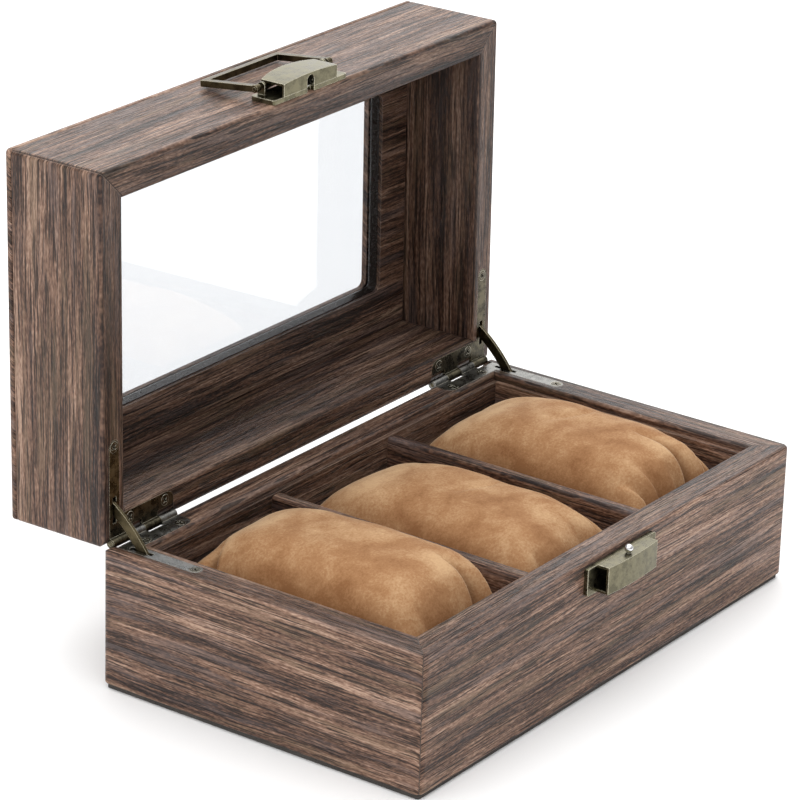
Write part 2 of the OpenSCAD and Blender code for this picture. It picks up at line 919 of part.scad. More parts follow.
module ear_outline() {
    translate([-bail_out, 0])
        circle(ear_r);
    translate([-bail_out, -ear_r])
        square([bail_out - plate_t, 2 * ear_r]);
}

module upper_catch_plate() color("#6f6748") in_lid() over_to_lid() difference() {
    union() {
        catch_plate(upper_drop);
        for (side = [-1, 1])
            translate([side * ear_x, front_y, base_h - bail_up])
                along_x(ear_t)
                    ear_outline();
    }
    ball_slot();
    at_bail_pivot()
        rotate([0, 90, 0])
            cylinder(h = bail_w, r = bail_pin_r + pin_fit, center = true);
}

module upper_catch_cover() color("#837b58") in_lid() over_to_lid() difference() {
    catch_cover(upper_drop, upper_bow);
    ball_slot();
}

// A springy channel of sheet, open towards the rim and outwards
module catch_spring() color("#8d8568") in_lid() over_to_lid()
    translate([0, front_y, base_h - upper_drop - clip_start - clip_len])
        linear_extrude(clip_len)
            difference() {
                translate([-ball_r - clip_gap - clip_t, -clip_top])
                    square([2 * (ball_r + clip_gap + clip_t), clip_top - plate_t]);
                translate([-ball_r - clip_gap, -clip_top - eps])
                    square([2 * (ball_r + clip_gap), clip_top + eps - plate_t - clip_t]);
            }

// The bail hangs from its pin along -z, and tilts in towards the wall
module bail() color("#7d7550") in_lid() over_to_lid() at_bail_pivot()
    rotate([bail_tilt, 0, 0])
        difference() {
            union() {
                for (side = [-1, 1]) {
                    translate([side * (bail_w - bail_t) / 2, 0, 0])
                        rotate([0, 90, 0])
                            cylinder(h = bail_t, r = bail_eye_r, center = true);
                    translate([side * (bail_w - bail_t) / 2 - bail_t / 2, -bail_t / 2, -bail_reach])
                        cube([bail_t, bail_t, bail_reach]);
                }
                translate([-bail_w / 2, -bail_t / 2, -bail_reach - bail_t / 2])
                    cube([bail_w, bail_t, bail_t]);
            }
            rotate([0, 90, 0])
                cylinder(h = bail_w + 2 * eps, r = bail_pin_r + running_fit, center = true);
        }

module bail_pin() color("#8d8568") in_lid() over_to_lid() at_bail_pivot()
    rotate([0, 90, 0])
        cylinder(h = bail_w + 2 * still_gap, r = bail_pin_r, center = true);

base_front_wall();
base_back_wall();
base_left_wall();
base_right_wall();
bottom_sheet();
floor_board();
front_liner();
back_liner();
left_liner();
right_liner();
left_divider();
right_divider();
left_cushion();
middle_cushion();
right_cushion();
lid_front_wall();
lid_back_wall();
lid_left_wall();
lid_right_wall();
lid_frame();
lid_top_sheet();
lid_glass();
glass_bead();
left_hinge_base_leaf();
left_hinge_lid_leaf();
left_hinge_pin();
left_stay();
right_hinge_base_leaf();
right_hinge_lid_leaf();
right_hinge_pin();
right_stay();
base_hinge_screws();
lid_hinge_screws();
lower_catch_plate();
lower_catch_cover();
catch_ball();
upper_catch_plate();
upper_catch_cover();
catch_spring();
bail();
bail_pin();
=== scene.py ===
import json
import math

import bpy
import bmesh
from mathutils import Matrix, Vector, noise


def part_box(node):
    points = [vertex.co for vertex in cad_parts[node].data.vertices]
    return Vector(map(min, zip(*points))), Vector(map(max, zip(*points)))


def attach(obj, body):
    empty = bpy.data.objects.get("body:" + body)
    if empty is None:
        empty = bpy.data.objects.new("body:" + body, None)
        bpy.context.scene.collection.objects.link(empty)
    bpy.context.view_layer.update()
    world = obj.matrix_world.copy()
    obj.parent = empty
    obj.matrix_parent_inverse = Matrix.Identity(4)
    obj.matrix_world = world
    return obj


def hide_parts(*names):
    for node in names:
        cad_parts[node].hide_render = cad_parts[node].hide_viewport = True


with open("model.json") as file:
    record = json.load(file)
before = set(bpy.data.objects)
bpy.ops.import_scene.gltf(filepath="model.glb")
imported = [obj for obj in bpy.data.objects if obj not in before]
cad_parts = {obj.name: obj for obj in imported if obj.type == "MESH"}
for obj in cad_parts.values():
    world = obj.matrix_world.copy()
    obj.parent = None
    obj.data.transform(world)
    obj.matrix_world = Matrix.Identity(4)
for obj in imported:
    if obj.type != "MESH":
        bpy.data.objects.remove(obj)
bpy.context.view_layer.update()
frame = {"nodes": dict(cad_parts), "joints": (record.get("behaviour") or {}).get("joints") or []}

MM = 0.001

# ---- Directions of the two halves ----

X = Vector((1, 0, 0))
Y = Vector((0, 1, 0))
Z = Vector((0, 0, 1))
LID_JOINT = next(j for j in frame["joints"] if j["name"] == "lid_hinge")
OPEN = math.radians(LID_JOINT["range_deg"][0])
SWING = Matrix.Rotation(OPEN, 3, "X")
# Right, back and up on each half, as they lie at rest with the lid open
BASE = (X, Y, Z)
LID = (X, SWING @ Y, SWING @ Z)


# ---- Camera, fitted to the box's straight edges in the photo ----

CAMERA_AT = Vector((-0.955329, -0.652640, 0.547446))
AZIMUTH = math.radians(-54.731)
ELEVATION = math.radians(22.148)
ROLL = math.radians(1.757)
LENS = 184.72
SENSOR = 36.0
CLIP_NEAR = 0.05
CLIP_FAR = 50


def make_camera():
    back = Vector((
        math.sin(AZIMUTH) * math.cos(ELEVATION),
        -math.cos(AZIMUTH) * math.cos(ELEVATION),
        math.sin(ELEVATION),
    ))
    right = Z.cross(back).normalized()
    up = back.cross(right)
    turned = Matrix((
        math.cos(ROLL) * right + math.sin(ROLL) * up,
        -math.sin(ROLL) * right + math.cos(ROLL) * up,
        back,
    )).transposed()
    data = bpy.data.cameras.new("camera")
    data.lens = LENS
    data.sensor_width = SENSOR
    data.clip_start = CLIP_NEAR
    data.clip_end = CLIP_FAR
    camera = bpy.data.objects.new("camera", data)
    camera.matrix_world = Matrix.Translation(CAMERA_AT) @ turned.to_4x4()
    bpy.context.scene.collection.objects.link(camera)
    bpy.context.scene.camera = camera


# ---- Nodes of a material ----

MIX_A, MIX_B, MIX_RESULT = 6, 7, 2        # a Mix node's sockets for colours
BEVEL_SAMPLES = 4
# Dot product of the softened and the true normal where an edge begins, and where it is full
EDGE_STARTS, EDGE_FULL = 0.97, 0.80


class Nodes:
    """Adds nodes to a node tree and links them."""

    def __init__(self, tree):
        self.tree = tree
        tree.nodes.clear()

    def add(self, kind, **settings):
        node = self.tree.nodes.new(kind)
        for key, value in settings.items():
            setattr(node, key, value)
        return node

    def put(self, socket, value):
        """Sets a socket to a number, a colour or another node's output."""
        if isinstance(value, bpy.types.NodeSocket):
            self.tree.links.new(value, socket)
        elif isinstance(value, (tuple, list, Vector)):
            value = tuple(value)
            room = len(socket.default_value)
            socket.default_value = value + (1.0,) * (room - len(value))
        else:
            socket.default_value = value

    def math(self, how, a, b=0.0, c=0.0):
        node = self.add("ShaderNodeMath", operation=how)
        for socket, value in zip(node.inputs, (a, b, c)):
            self.put(socket, value)
        return node.outputs[0]

    def weigh(self, *parts):
        """Sum of values, each times its share."""
        total = 0.0
        for value, share in parts:
            total = self.math("MULTIPLY_ADD", value, share, total)
        return total

    def dot(self, a, b):
        node = self.add("ShaderNodeVectorMath", operation="DOT_PRODUCT")
        self.put(node.inputs[0], a)
        self.put(node.inputs[1], b)
        return node.outputs["Value"]

    def place(self):
        return self.add("ShaderNodeTexCoord").outputs["Object"]

    def geometry(self, output):
        return self.add("ShaderNodeNewGeometry").outputs[output]

    def attribute(self, name):
        return self.add("ShaderNodeAttribute", attribute_name=name).outputs["Fac"]

    def combine(self, x, y, z):
        node = self.add("ShaderNodeCombineXYZ")
        for socket, value in zip(node.inputs, (x, y, z)):
            self.put(socket, value)
        return node.outputs[0]

    def noise(self, vector, scale=1.0, detail=2.0, rough=0.5, distortion=0.0):
        node = self.add("ShaderNodeTexNoise")
        self.put(node.inputs["Vector"], vector)
        node.inputs["Scale"].default_value = scale
        node.inputs["Detail"].default_value = detail
        node.inputs["Roughness"].default_value = rough
        node.inputs["Distortion"].default_value = distortion
        return node.outputs["Fac"]

    def spread(self, value, low, high, to_low=0.0, to_high=1.0, smooth=True):
        """Maps low..high onto to_low..to_high, and stops at the ends."""
        node = self.add("ShaderNodeMapRange")
        node.interpolation_type = "SMOOTHSTEP" if smooth else "LINEAR"
        for socket, v in zip(node.inputs, (value, low, high, to_low, to_high)):
            self.put(socket, v)
        return node.outputs[0]

    def ramp(self, value, *stops):
        node = self.add("ShaderNodeValToRGB")
        self.put(node.inputs[0], value)
        elements = node.color_ramp.elements
        while len(elements) < len(stops):
            elements.new(0.5)
        for element, (at, colour) in zip(elements, stops):
            element.position = at
            element.color = (*colour, 1.0)
        return node.outputs[0]

    def mix(self, share, a, b, how="MIX"):
        node = self.add("ShaderNodeMix", data_type="RGBA", blend_type=how)
        self.put(node.inputs["Factor"], share)
        self.put(node.inputs[MIX_A], a)
        self.put(node.inputs[MIX_B], b)
        return node.outputs[MIX_RESULT]

    def bump(self, height, distance, strength=1.0, under=None):
        node = self.add("ShaderNodeBump")
        self.put(node.inputs["Height"], height)
        node.inputs["Distance"].default_value = distance
        node.inputs["Strength"].default_value = strength
        if under is not None:
            self.put(node.inputs["Normal"], under)
        return node.outputs[0]

    def soft_edges(self, radius):
        node = self.add("ShaderNodeBevel", samples=BEVEL_SAMPLES)
        node.inputs["Radius"].default_value = radius
        return node.outputs[0]

    def edge_share(self, soft):
        """How far the softened normal turns from the true one: 0 on faces, towards 1 on edges."""
        return self.spread(self.dot(soft, self.geometry("True Normal")), EDGE_STARTS, EDGE_FULL)


class Surface(Nodes):
    """The nodes of a new material, around one Principled shader."""

    def __init__(self, name):
        self.material = bpy.data.materials.new(name)
        self.material.use_nodes = True
        super().__init__(self.material.node_tree)
        out = self.add("ShaderNodeOutputMaterial")
        self.shader = self.add("ShaderNodeBsdfPrincipled")
        self.tree.links.new(self.shader.outputs[0], out.inputs["Surface"])

    def set(self, **values):
        """Sets the shader's own sockets; an underscore stands for a space."""
        for key, value in values.items():
            self.put(self.shader.inputs[key.replace("_", " ")], value)


def dimmed(colour, share):
    return tuple(v * share for v in colour)


# ---- Woodgrain wrap ----

WOOD_TONES = (
    (0.00, (0.014, 0.007, 0.005)),
    (0.22, (0.045, 0.021, 0.014)),
    (0.50, (0.155, 0.083, 0.054)),
    (0.75, (0.280, 0.165, 0.113)),
    (1.00, (0.470, 0.310, 0.225)),
)
WOOD_PORE = (0.010, 0.005, 0.004)
# painted highlight: the lighter colour along the wood's edges
WOOD_EDGE_HIGHLIGHT = (0.380, 0.280, 0.225)
WOOD_GREY = (0.150, 0.118, 0.114)
WOOD_OLIVE = (0.180, 0.125, 0.076)

# How the grain sways: a wave's length and width in millimetres, its start along the board, and how
# many millimetres it goes to each side
GRAIN_WAVES = (
    (95, 42, 3.1, 1.8),
    (20, 9, 7.7, 0.30),
)
# The grain's marks: length and width in millimetres, start along the board, detail and roughness
GRAIN_BANDS = (120, 7.0, 11.3, 2.0, 0.5)
GRAIN_STREAKS = (75, 1.7, 23.9, 4.0, 0.62)
GRAIN_LINES = (30, 0.68, 41.3, 2.0, 0.6)
GRAIN_FLECKS = (1.9, 0.44, 37.1, 1.0, 0.5)
GRAIN_PORES = (15, 0.52, 51.7, 1.0, 0.5)
GRAIN_TINT = (60, 4.2, 67.9, 3.0, 0.6)
GRAIN_INTO_DEPTH = 0.2                    # how fast it changes into the board, beside across
BANDS_SHARE, STREAKS_SHARE, LINES_SHARE, FLECKS_SHARE = 0.29, 0.25, 0.27, 0.19
TONE_RANGE = (0.40, 0.60)                 # of the summed marks, from darkest to lightest
GREY_FADES_IN = (0.50, 0.66, 0, 0.42)     # from and to which tint, and with which share
OLIVE_FADES_IN = (0.48, 0.34, 0, 0.38)
PORE_RANGE = (0.45, 0.36)
PORE_SHARE = 0.80

SHADED = 0.70                             # painted shade: brightness of rims and inner faces beside outer ones
FACES_OUTWARD = (0.35, 0.75)              # how squarely a face looks outward, from full painted shade to none
MITRE_LINE = (0.30 * MM, 0.10 * MM, 0, 0.85)  # from and to which distance, with which share
WOOD_EDGE = 0.45 * MM                     # radius of the softened edges, which carry the painted highlight
EDGE_HIGHLIGHT_SHARE = 0.40
PORE_RELIEF, FLECK_RELIEF = -0.8, 0.8     # beside the lines' relief
WOOD_ROUGHNESS = (0.35, 0.65, 0.36, 0.50)
WOOD_SPECULAR = 0.30
WOOD_RELIEF = 0.20 * MM


def wood(name, along, across, seed, dim=1.0, outward=None, mitres=None):
    """Printed woodgrain on embossed vinyl, with its grain along one direction.

    dim darkens the whole board as painted shade. outward is the direction of a wall's outer
    face; the wall's other faces get painted shade. mitres holds the right and back directions
    of a half of the box, its centre, and how much further it reaches to each side than to the
    back.
    """
    n = Surface(name)
    place = n.place()
    depth = along.cross(across).normalized()
    a, c, d = (n.math("MULTIPLY", n.dot(place, v), 1 / MM) for v in (along, across, depth))

    def grain(c, length, width, start, detail=1.0, rough=0.5):
        return n.noise(n.combine(
            n.math("MULTIPLY_ADD", a, 1 / length, start + seed),
            n.math("MULTIPLY", c, 1 / width),
            n.math("MULTIPLY", d, GRAIN_INTO_DEPTH / width),
        ), detail=detail, rough=rough)

    sway = 0.0
    for length, width, start, reach in GRAIN_WAVES:
        wave = n.math("MULTIPLY_ADD", grain(c, length, width, start), 2 * reach, -reach)
        sway = n.math("ADD", sway, wave)
    swayed = n.math("ADD", c, sway)
    all_marks = (GRAIN_BANDS, GRAIN_STREAKS, GRAIN_LINES, GRAIN_FLECKS, GRAIN_PORES, GRAIN_TINT)
    bands, streaks, lines, flecks, pores, tint = (grain(swayed, *marks) for marks in all_marks)

    tone = n.weigh(
        (bands, BANDS_SHARE),
        (streaks, STREAKS_SHARE),
        (lines, LINES_SHARE),
        (flecks, FLECKS_SHARE),
    )
    colour = n.ramp(n.spread(tone, *TONE_RANGE, smooth=False), *WOOD_TONES)
    colour = n.mix(n.spread(tint, *GREY_FADES_IN), colour, WOOD_GREY)
    colour = n.mix(n.spread(tint, *OLIVE_FADES_IN), colour, WOOD_OLIVE)
    pore = n.spread(pores, *PORE_RANGE)
    colour = n.mix(n.math("MULTIPLY", pore, PORE_SHARE), colour, WOOD_PORE)
    # painted shade: dim darkens the whole board
    shade = (dim, dim, dim)
    # painted shade on the rims and inner faces of a wall
    if outward is not None:
        faces = n.dot(n.geometry("True Normal"), outward)
        shade = n.mix(n.spread(faces, *FACES_OUTWARD), dimmed(shade, SHADED), shade)
    colour = n.mix(1.0, colour, shade, "MULTIPLY")
    if mitres is not None:
        right, back, centre, reach = mitres
        x, y = (
            n.math("ABSOLUTE", n.math("SUBTRACT", n.dot(place, v), centre.dot(v)))
            for v in (right, back)
        )
        gap = n.math("ABSOLUTE", n.math("SUBTRACT", n.math("SUBTRACT", x, y), reach))
        colour = n.mix(n.spread(gap, *MITRE_LINE), colour, WOOD_PORE)
    soft = n.soft_edges(WOOD_EDGE)
    # painted highlight along the softened edges
    colour = n.mix(n.math("MULTIPLY", n.edge_share(soft), EDGE_HIGHLIGHT_SHARE), colour, WOOD_EDGE_HIGHLIGHT)

    relief = n.math("ADD", lines, n.math("MULTIPLY", flecks, FLECK_RELIEF))
    relief = n.math("MULTIPLY_ADD", pore, PORE_RELIEF, relief)
    n.set(
        Base_Color=colour,
        Roughness=n.spread(lines, *WOOD_ROUGHNESS),
        Specular_IOR_Level=WOOD_SPECULAR,
        Normal=n.bump(relief, WOOD_RELIEF, under=soft),
    )
    return n.material


# ---- Metals ----

# Noise scales here and below are in marks per metre
BLOTCH_SCALE, BLOTCH_DETAIL, BLOTCH_ROUGH = 330, 4.0, 0.65
GRIT_SCALE, GRIT_DETAIL, GRIT_ROUGH = 2400, 2.0, 0.6
GRIT_IN_COLOUR, GRIT_IN_ROUGHNESS = 0.25, 0.4
PATINA_RANGE = (0.48, 0.78)               # from patina to bare metal
WEAR_AND_HIGHLIGHT_SHARE = 0.95
DULL_RANGE = (0.4, 1.0)
DULL_LESS, DULL_MORE = 0.07, 0.12
BLOTCH_RELIEF = 3.0                       # beside the grit's relief
METAL_RELIEF = 0.03 * MM
METAL_RELIEF_STRENGTH = 0.7

# Colour, the edges' colour from wear and painted highlight, roughness, the patina's brightness
# beside the colour's, and the radius of these edges in millimetres
AGED_METALS = {
    "antique_brass": ((0.185, 0.168, 0.105), (0.78, 0.73, 0.57), 0.29, 0.55, 0.38),
    "dark_brass": ((0.125, 0.108, 0.070), (0.50, 0.46, 0.35), 0.28, 0.28, 0.25),
    "screw_brass": ((0.130, 0.112, 0.078), (0.80, 0.76, 0.62), 0.30, 0.35, 0.18),
    "dark_bronze": ((0.105, 0.084, 0.046), (0.66, 0.59, 0.42), 0.34, 0.50, 0.25),
    # painted reflection: the base's hinge leaves paler and greyer than the lid's, for the pale
    # sheen they show
    "brass_with_painted_reflection": ((0.235, 0.230, 0.215), (0.58, 0.55, 0.46), 0.28, 0.50, 0.25),
}
AGED_METAL_OF = {
    "lower_catch_plate": "antique_brass",
    "lower_catch_cover": "antique_brass",
    "upper_catch_plate": "antique_brass",
    "upper_catch_cover": "antique_brass",
    "bail": "dark_bronze",
    "bail_pin": "dark_bronze",
    "left_stay": "dark_bronze",
    "right_stay": "dark_bronze",
    # painted reflection on the base's hinge leaves
    "left_hinge_base_leaf": "brass_with_painted_reflection",
    "right_hinge_base_leaf": "brass_with_painted_reflection",
    "left_hinge_lid_leaf": "dark_brass",
    "right_hinge_lid_leaf": "dark_brass",
    "left_hinge_pin": "dark_brass",
    "right_hinge_pin": "dark_brass",
    "base_hinge_screws": "screw_brass",
    "lid_hinge_screws": "screw_brass",
}

SCRATCH_SCALE, SCRATCH_DETAIL, SCRATCH_ROUGH = 1800, 3.0, 0.7
SCRATCH_RANGE = (0.3, 0.8)
SCRATCH_DIM = 0.8
SCRATCH_DULL = 0.10
CHROME = ((0.80, 0.80, 0.82), 0.06)       # colour and roughness
SPRING_STEEL = ((0.45, 0.44, 0.40), 0.25)


def aged_metal(name):
    """Antiqued plating: dark in its hollows and blotches, edges bright from wear and painted
    highlight.
    """
    colour, wear_and_highlight, rough, patina, edge = AGED_METALS[name]
    n = Surface(name)
    place = n.place()
    blotch = n.noise(place, BLOTCH_SCALE, BLOTCH_DETAIL, BLOTCH_ROUGH)
    grit = n.noise(place, GRIT_SCALE, GRIT_DETAIL, GRIT_ROUGH)
    soft = n.soft_edges(edge * MM)
    bare = n.spread(n.math("MULTIPLY_ADD", grit, GRIT_IN_COLOUR, blotch), *PATINA_RANGE)
    shade = n.mix(bare, dimmed(colour, patina), colour)
    # the edges' colour: real wear and painted highlight
    shade = n.mix(n.math("MULTIPLY", n.edge_share(soft), WEAR_AND_HIGHLIGHT_SHARE), shade, wear_and_highlight)
    dull = n.math("MULTIPLY_ADD", grit, GRIT_IN_ROUGHNESS, blotch)
    relief = n.math("MULTIPLY_ADD", blotch, BLOTCH_RELIEF, grit)
    n.set(
        Base_Color=shade,
        Metallic=1.0,
        Roughness=n.spread(dull, *DULL_RANGE, rough - DULL_LESS, rough + DULL_MORE),
        Normal=n.bump(relief, METAL_RELIEF, METAL_RELIEF_STRENGTH, soft),
    )
    return n.material


def polished_metal(name, colour, rough):
    n = Surface(name)
    scratch = n.noise(n.place(), SCRATCH_SCALE, SCRATCH_DETAIL, SCRATCH_ROUGH)
    n.set(
        Base_Color=n.mix(n.spread(scratch, *SCRATCH_RANGE), colour, dimmed(colour, SCRATCH_DIM)),
        Metallic=1.0,
        Roughness=n.spread(scratch, *SCRATCH_RANGE, rough, rough + SCRATCH_DULL),
    )
    return n.material


# ---- Glass, bead, felt ----

GLASS_TINT = (0.69, 0.705, 0.725)
GLASS_IOR = 1.5
HAZE_SCALE = 60
HAZE_ROUGHNESS = (0.3, 0.7, 0.0, 0.02)

BEAD_COLOUR = (0.020, 0.015, 0.013)
BEAD_ROUGHNESS = 0.16
BEAD_DULL = 0.12
BEAD_DIM = 0.6
BEAD_GRAIN_SCALE, BEAD_GRAIN_DETAIL = 900, 3.0
BEAD_GRAIN_RANGE = (0.3, 0.7)
BEAD_RELIEF = 0.03 * MM
BEAD_RELIEF_STRENGTH = 0.5
BEAD_EDGE = 0.2 * MM

FELT_COLOUR = (0.075, 0.068, 0.062)
FIBRE_SCALE, FIBRE_DETAIL, FIBRE_ROUGH = 2400, 4.0, 0.7
FIBRE_RANGE = (0.3, 0.7)
FIBRE_DARK, FIBRE_PALE = 0.55, 1.5        # beside the felt's colour
PATCH_SCALE = 90
PATCH_FADES_IN = (0.4, 0.7, 0, 0.4)
FELT_ROUGHNESS = 0.95
FELT_RELIEF = 0.12 * MM
FELT_RELIEF_STRENGTH = 0.8


def clear_glass():
    n = Surface("clear_glass")
    n.set(
        Base_Color=GLASS_TINT,
        Roughness=n.spread(n.noise(n.place(), HAZE_SCALE), *HAZE_ROUGHNESS),
        IOR=GLASS_IOR,
        Transmission_Weight=1.0,
    )
    return n.material


def bead_plastic():
    n = Surface("bead_plastic")
    grain = n.noise(n.place(), BEAD_GRAIN_SCALE, BEAD_GRAIN_DETAIL)
    dim = n.spread(grain, *BEAD_GRAIN_RANGE)
    rough = n.spread(grain, *BEAD_GRAIN_RANGE, BEAD_ROUGHNESS, BEAD_ROUGHNESS + BEAD_DULL)
    n.set(
        Base_Color=n.mix(dim, BEAD_COLOUR, dimmed(BEAD_COLOUR, BEAD_DIM)),
        Roughness=rough,
        Normal=n.bump(grain, BEAD_RELIEF, BEAD_RELIEF_STRENGTH, n.soft_edges(BEAD_EDGE)),
    )
    return n.material


def underside_felt():
    n = Surface("underside_felt")
    place = n.place()
    fibre = n.noise(place, FIBRE_SCALE, FIBRE_DETAIL, FIBRE_ROUGH)
    patch = n.noise(place, PATCH_SCALE)
    shade = n.mix(n.spread(fibre, *FIBRE_RANGE), dimmed(FELT_COLOUR, FIBRE_DARK), FELT_COLOUR)
    n.set(
        Base_Color=n.mix(n.spread(patch, *PATCH_FADES_IN), shade, dimmed(FELT_COLOUR, FIBRE_PALE)),
        Roughness=FELT_ROUGHNESS,
        Normal=n.bump(fibre, FELT_RELIEF, FELT_RELIEF_STRENGTH),
    )
    return n.material


# ---- Velvet ----

VELVET_DEEP = (0.250, 0.112, 0.044)
VELVET_MID = (0.360, 0.185, 0.084)
VELVET_LIT = (0.550, 0.350, 0.190)
CREASE_PAINTED_SHADE = (0.100, 0.042, 0.015)    # painted shade in the creases
DEEP_AT, MID_AT, LIT_AT = 0.39, 0.50, 0.64
CREASE_FADES_IN = (0.8, 5.0, 0, 0.58)     # painted crease shade: from and to which depth in millimetres, which share

# The nap's marks: scale, detail, roughness and distortion
NAP_STROKES = (30, 2.0, 0.5, 0.6)
NAP_PATCHES = (120, 3.0, 0.6, 0.5)
NAP_FIBRES = (1300, 3.0, 0.7)
STROKES_SHARE, PATCHES_SHARE, FIBRES_SHARE = 0.46, 0.30, 0.24
TOP_PAINTED_LIGHT = (0.30, 1.0, -0.04, 0.030)  # painted light: what a face's upward share adds to the tone

VELVET_ROUGHNESS = 0.9
VELVET_SPECULAR = 0.2
SHEEN = 0.45
SHEEN_ROUGHNESS = 0.26
SHEEN_TINT = (1.0, 0.84, 0.62)
PATCHES_RELIEF = 1.5                      # beside the fibres' relief
VELVET_RELIEF = 0.14 * MM
VELVET_RELIEF_STRENGTH = 0.8


def velvet():
    """Short-napped velvet: the nap lies in soft patches that catch the light differently."""
    n = Surface("camel_velvet")
    place = n.place()
    strokes = n.noise(place, *NAP_STROKES)
    patches = n.noise(place, *NAP_PATCHES)
    fibres = n.noise(place, *NAP_FIBRES)
    # painted light: faces turned upwards are lighter
    painted_top_light = n.spread(n.dot(n.geometry("Normal"), Z), *TOP_PAINTED_LIGHT)
    tone = n.weigh(
        (painted_top_light, 1.0),
        (strokes, STROKES_SHARE),
        (patches, PATCHES_SHARE),
        (fibres, FIBRES_SHARE),
    )
    colour = n.ramp(tone, (DEEP_AT, VELVET_DEEP), (MID_AT, VELVET_MID), (LIT_AT, VELVET_LIT))
    # painted shade in the creases, deeper where the folds are deeper
    colour = n.mix(n.spread(n.attribute("crease"), *CREASE_FADES_IN), colour, CREASE_PAINTED_SHADE)
    relief = n.math("MULTIPLY_ADD", patches, PATCHES_RELIEF, fibres)
    n.set(
        Base_Color=colour,
        Roughness=VELVET_ROUGHNESS,
        Specular_IOR_Level=VELVET_SPECULAR,
        Sheen_Weight=SHEEN,
        Sheen_Roughness=SHEEN_ROUGHNESS,
        Sheen_Tint=SHEEN_TINT,
        Normal=n.bump(relief, VELVET_RELIEF, VELVET_RELIEF_STRENGTH),
    )
    return n.material


# ---- Dressing the CAD nodes ----

# Where each board's grain starts
BASE_SEED, LID_SEED, NEXT_WALL = 2.0, 41.0, 3.7
FRAME_SEED, TOP_SEED = 83.0, 97.0
SIDE_LINER_SEED, FRONT_LINER_SEED, BACK_LINER_SEED = 103.0, 127.0, 131.0
LEFT_DIVIDER_SEED, RIGHT_DIVIDER_SEED = 109.0, 113.0
FLOOR_SEED = 137.0

# Painted shade: brightness beside the base's outer faces
BASE_DIM, LID_PAINTED_SHADE = 1.0, 0.86
FRAME_PAINTED_SHADE = 0.60
BACK_LINER_PAINTED_SHADE = 0.55                     # painted shade; the photo shows it darker than the other linings
FLOOR_PAINTED_SHADE = 0.6


def dress(node, material):
    mesh = frame["nodes"][node].data
    mesh.materials.clear()
    mesh.materials.append(material)


def dress_walls(half, axes, seed, dim):
    """The grain goes round the box's sides in one line, and over each rim along its board."""
    right, back, up = axes
    (front_low, front_high), (left_low, left_high) = (
        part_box(f"{half}_{name}_wall") for name in ("front", "left")
    )
    centre = (left_low + left_high) / 2
    centre.x = 0
    half_depth = max(abs((corner - centre).dot(back)) for corner in (left_low, left_high))
    mitres = (right, back, centre, (front_high.x - front_low.x) / 2 - half_depth)
    boards = {
        "front": (right, back),
        "right": (back, -right),
        "back": (-right, -back),
        "left": (-back, right),
    }
    for i, (name, (along, inward)) in enumerate(boards.items()):
        node = f"{half}_{name}_wall"
        start = seed + NEXT_WALL * i
        dress(node, wood(f"{node}_grain", along, up + inward, start, dim, -inward, mitres))


def dress_boards():
    dress_walls("base", BASE, BASE_SEED, BASE_DIM)
    dress_walls("lid", LID, LID_SEED, LID_PAINTED_SHADE)
    along, lid_back, lid_up = LID
    across = lid_back + lid_up
    dress("lid_frame", wood("lid_frame_grain", along, across, FRAME_SEED, FRAME_PAINTED_SHADE))
    dress("lid_top_sheet", wood("lid_top_grain", along, across, TOP_SEED))
    dress("left_liner", wood("left_liner_grain", Y, Z + X, SIDE_LINER_SEED))
    dress("right_liner", wood("right_liner_grain", Y, Z - X, SIDE_LINER_SEED))
    dress("left_divider", wood("left_divider_grain", Y, Z + X, LEFT_DIVIDER_SEED))
    dress("right_divider", wood("right_divider_grain", Y, Z - X, RIGHT_DIVIDER_SEED))
    dress("front_liner", wood("front_liner_grain", X, Z + Y, FRONT_LINER_SEED))
    dress("back_liner", wood("back_liner_grain", X, Z - Y, BACK_LINER_SEED, BACK_LINER_PAINTED_SHADE))
    dress("floor_board", wood("floor_grain", X, Y, FLOOR_SEED, FLOOR_PAINTED_SHADE))
    dress("bottom_sheet", underside_felt())
    dress("lid_glass", clear_glass())
    dress("glass_bead", bead_plastic())


def dress_metals():
    aged = {name: aged_metal(name) for name in AGED_METALS}
    for node, name in AGED_METAL_OF.items():
        dress(node, aged[name])
    dress("catch_ball", polished_metal("ball_chrome", *CHROME))
    dress("catch_spring", polished_metal("spring_steel", *SPRING_STEEL))


# ---- Cushions ----

PILLOW_HALF_W = 26.7 * MM
PILLOW_FRONT = 43.6 * MM                  # from the middle to the front end
PILLOW_BACK = 48.8 * MM                   # from the middle to the back end
PILLOW_SEAM = 25.5 * MM                   # height of the seam above the table
PILLOW_FOOT = 4.8 * MM                    # height of the pillow's underside above the table
END_PULL = 2.2 * MM                       # how far the two ends pull in between their corners
ROOM_HALF_W = 27.5 * MM                   # to each side, what the compartment leaves free
ACROSS, DOWN = 96, 128                    # faces of each sheet across and along the pillow

# Powers of the pillow's form: the higher, the fuller it stays towards its sides and ends
SIDE_FULLNESS = 3.6
FRONT_FULLNESS = 6.0
BACK_FULLNESS = 3.4
# Powers of the upper and the lower sheet: the lower, the steeper they leave the seam
DOME_POWER = 0.5
BELLY_POWER = 0.35
BELLY_GAIN = 1.15                         # flattens the underside at the foot's height

# Soft lumps of the stuffing: marks per metre and height in millimetres
BROAD_LUMPS = (50, 0.9)
SMALL_LUMPS = (130, 0.22)
LUMP_LIMIT = 0.4                          # how far a lump may stand out, in millimetres

# A fold drops at its lip to a crease, and rises again over its lowered side
FOLD_LIP = 0.6                            # how far the lip rounds off, in millimetres
FOLD_CREASE = 2.8                         # half the crease's width, in millimetres
FOLD_SLUMP = 0.35                         # share of its depth by which the lowered side sinks
FOLD_DIP = 0.80                           # share by which the crease sinks further
FOLD_FADE = 1.8                           # how soon it reaches its depth from its faint end
FOLD_DOWNWARD = 1.5                       # how much it sinks down rather than into the surface
FOLDS_END_BELOW = 0.6                     # below the seam, as a share of the crown's rise

